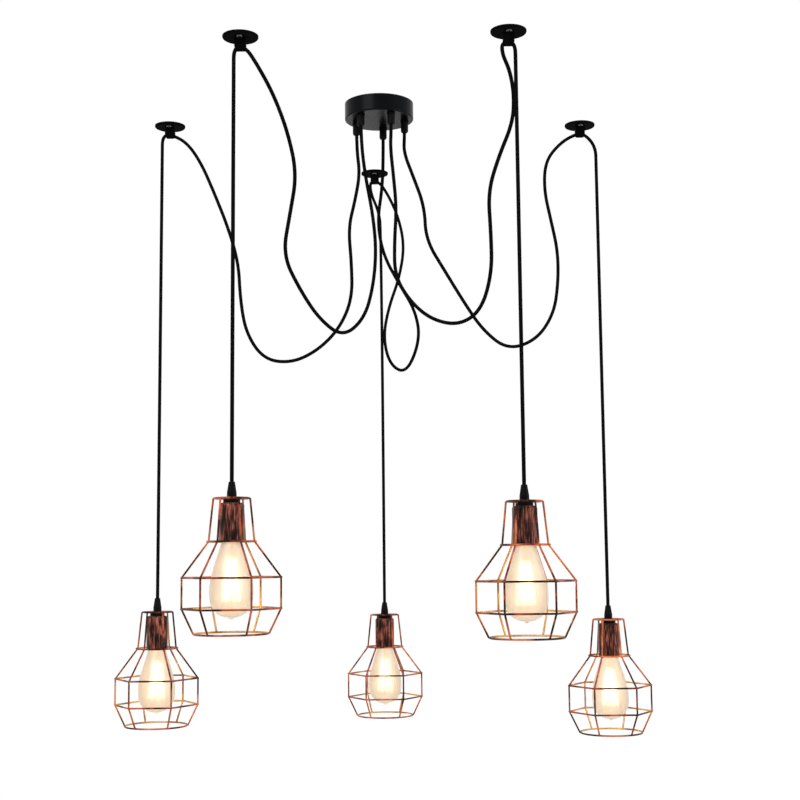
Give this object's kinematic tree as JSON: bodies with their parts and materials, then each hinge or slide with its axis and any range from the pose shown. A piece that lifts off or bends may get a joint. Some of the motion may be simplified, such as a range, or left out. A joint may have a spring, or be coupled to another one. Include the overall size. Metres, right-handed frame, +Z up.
{
  "type": "cluster pendant light",
  "caption": "Ceiling light with a round rose and braided cords swagged over ceiling hooks to hanging lamps with copper wire cages, copper sleeves and tall screw-in bulbs.",
  "frame": {"origin": "centre of the ceiling bracket's upper face, on the ceiling plane", "axes": "+Z up through the ceiling, +X to the right along the bracket, +Y away from the person who looks at the light"},
  "size_m": [0.9448, 0.8924, 1.1005],
  "materials": {
    "black_enamel": "satin black enamel",
    "zinc_plate": "zinc plated",
    "screw_steel": "bright",
    "white_block": "moulded",
    "black_braid": "tight round braid",
    "black_fitting": "fine moulded",
    "antique_copper": "dark antique copper plate, rubbed",
    "brushed_copper": "dark brushed antique copper",
    "cap_brass": "bright",
    "bulb_glass": "clear, warm when lit",
    "filament_glow": "clear stem with glowing wires"
  },
  "bodies": {
    "root": {"rose_cover": "black_enamel", "rose_bracket": "zinc_plate", "rose_side_screws": "screw_steel", "terminal_block": "white_block", "rose_cord_grips": "black_enamel", "rose_grip_nuts": "zinc_plate", "hook_screws": "screw_steel", "hook_1": "black_enamel", "hook_2": "black_enamel", "hook_3": "black_enamel", "hook_4": "black_enamel", "hook_5": "black_enamel", "cord_slack_1": "black_braid", "cord_slack_2": "black_braid", "cord_slack_3": "black_braid", "cord_slack_4": "black_braid", "cord_slack_5": "black_braid"},
    "drop_1": {"cord_drop_1": "black_braid"},
    "pendant_1": {"cord_grip_1": "black_fitting", "lampholder_1": "black_fitting", "holder_sleeve_1": "brushed_copper", "cage_1": "antique_copper"},
    "bulb_1": {"bulb_cap_1": "cap_brass", "bulb_glass_1": "bulb_glass", "bulb_filament_1": "filament_glow"},
    "drop_2": {"cord_drop_2": "black_braid"},
    "pendant_2": {"cord_grip_2": "black_fitting", "lampholder_2": "black_fitting", "holder_sleeve_2": "brushed_copper", "cage_2": "antique_copper"},
    "bulb_2": {"bulb_cap_2": "cap_brass", "bulb_glass_2": "bulb_glass", "bulb_filament_2": "filament_glow"},
    "drop_3": {"cord_drop_3": "black_braid"},
    "pendant_3": {"cord_grip_3": "black_fitting", "lampholder_3": "black_fitting", "holder_sleeve_3": "brushed_copper", "cage_3": "antique_copper"},
    "bulb_3": {"bulb_cap_3": "cap_brass", "bulb_glass_3": "bulb_glass", "bulb_filament_3": "filament_glow"},
    "drop_4": {"cord_drop_4": "black_braid"},
    "pendant_4": {"cord_grip_4": "black_fitting", "lampholder_4": "black_fitting", "holder_sleeve_4": "brushed_copper", "cage_4": "antique_copper"},
    "bulb_4": {"bulb_cap_4": "cap_brass", "bulb_glass_4": "bulb_glass", "bulb_filament_4": "filament_glow"},
    "drop_5": {"cord_drop_5": "black_braid"},
    "pendant_5": {"cord_grip_5": "black_fitting", "lampholder_5": "black_fitting", "holder_sleeve_5": "brushed_copper", "cage_5": "antique_copper"},
    "bulb_5": {"bulb_cap_5": "cap_brass", "bulb_glass_5": "bulb_glass", "bulb_filament_5": "filament_glow"}
  },
  "joints": [
    {"name": "swing_1", "type": "hinge", "parent": "root", "child": "drop_1", "pos_m": [-0.399, 0.108, -0.039], "axis": [-0.9628, 0.2701, 0], "range_deg": [-10, 10]},
    {"name": "turn_1", "type": "hinge", "parent": "drop_1", "child": "pendant_1", "pos_m": [-0.399, 0.108, -0.882], "axis": [0, 0, 1], "range_deg": [-90, 90]},
    {"name": "bulb_slide_1", "type": "slide", "parent": "pendant_1", "child": "bulb_1", "axis": [0, 0, -1], "range_m": [0, 0.03]},
    {"name": "swing_2", "type": "hinge", "parent": "root", "child": "drop_2", "pos_m": [-0.216, -0.322, -0.039], "axis": [-0.5389, -0.8424, 0], "range_deg": [-10, 10]},
    {"name": "turn_2", "type": "hinge", "parent": "drop_2", "child": "pendant_2", "pos_m": [-0.216, -0.322, -0.703], "axis": [0, 0, 1], "range_deg": [-90, 90]},
    {"name": "bulb_slide_2", "type": "slide", "parent": "pendant_2", "child": "bulb_2", "axis": [0, 0, -1], "range_m": [0, 0.03]},
    {"name": "swing_3", "type": "hinge", "parent": "root", "child": "drop_3", "pos_m": [-0.003, 0.429, -0.15], "axis": [-0.0373, 0.9993, 0], "range_deg": [-10, 10]},
    {"name": "turn_3", "type": "hinge", "parent": "drop_3", "child": "pendant_3", "pos_m": [-0.003, 0.429, -0.903], "axis": [0, 0, 1], "range_deg": [-90, 90]},
    {"name": "bulb_slide_3", "type": "slide", "parent": "pendant_3", "child": "bulb_3", "axis": [0, 0, -1], "range_m": [0, 0.03]},
    {"name": "swing_4", "type": "hinge", "parent": "root", "child": "drop_4", "pos_m": [0.2115, -0.333, -0.039], "axis": [0.5177, -0.8556, 0], "range_deg": [-10, 10]},
    {"name": "turn_4", "type": "hinge", "parent": "drop_4", "child": "pendant_4", "pos_m": [0.2115, -0.333, -0.712], "axis": [0, 0, 1], "range_deg": [-90, 90]},
    {"name": "bulb_slide_4", "type": "slide", "parent": "pendant_4", "child": "bulb_4", "axis": [0, 0, -1], "range_m": [0, 0.03]},
    {"name": "swing_5", "type": "hinge", "parent": "root", "child": "drop_5", "pos_m": [0.397, 0.125, -0.076], "axis": [0.947, 0.3212, 0], "range_deg": [-10, 10]},
    {"name": "turn_5", "type": "hinge", "parent": "drop_5", "child": "pendant_5", "pos_m": [0.397, 0.125, -0.903], "axis": [0, 0, 1], "range_deg": [-90, 90]},
    {"name": "bulb_slide_5", "type": "slide", "parent": "pendant_5", "child": "bulb_5", "axis": [0, 0, -1], "range_m": [0, 0.03]}
  ]
}
